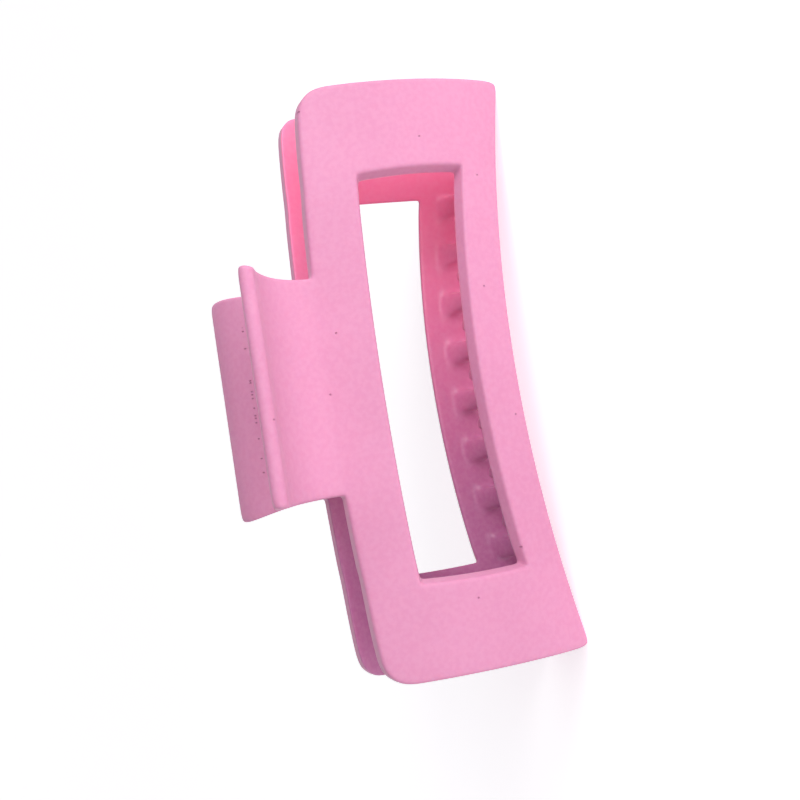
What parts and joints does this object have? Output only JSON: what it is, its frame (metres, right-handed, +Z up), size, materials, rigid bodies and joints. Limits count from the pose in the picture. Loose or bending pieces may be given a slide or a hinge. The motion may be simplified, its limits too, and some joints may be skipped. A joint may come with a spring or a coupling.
{
  "type": "hair claw clip",
  "caption": "Long rectangular claw clip for hair: windowed C-section jaws with flared thumb tabs and interleaving teeth, hinged on a steel pin and closed by a torsion spring.",
  "frame": {"origin": "middle of the footprint of the closed clip, on the surface its four lower corners stand on", "axes": "+X along the hinge pin and the clip's length, +Y from the front jaw towards the rear jaw, +Z up from the teeth towards the thumb tabs"},
  "size_m": [0.11, 0.0298, 0.0571],
  "materials": {
    "jaw_plastic": "soft-touch matte coating over injection-moulded ABS",
    "pin_steel": "plain drawn steel",
    "spring_steel": "bright drawn spring wire"
  },
  "bodies": {
    "rear_jaw": {"rear_jaw": "jaw_plastic", "hinge_pin": "pin_steel", "torsion_spring": "spring_steel"},
    "front_jaw": {"front_jaw": "jaw_plastic"}
  },
  "joints": [
    {"name": "jaw_hinge", "type": "hinge", "parent": "rear_jaw", "child": "front_jaw", "pos_m": [0, 0, 0.0393], "axis": [-1, 0, 0], "range_deg": [0, 45], "stiffness_Nm_per_rad": 0.12, "springref_deg": -68.75, "deforming": ["torsion_spring"]}
  ]
}
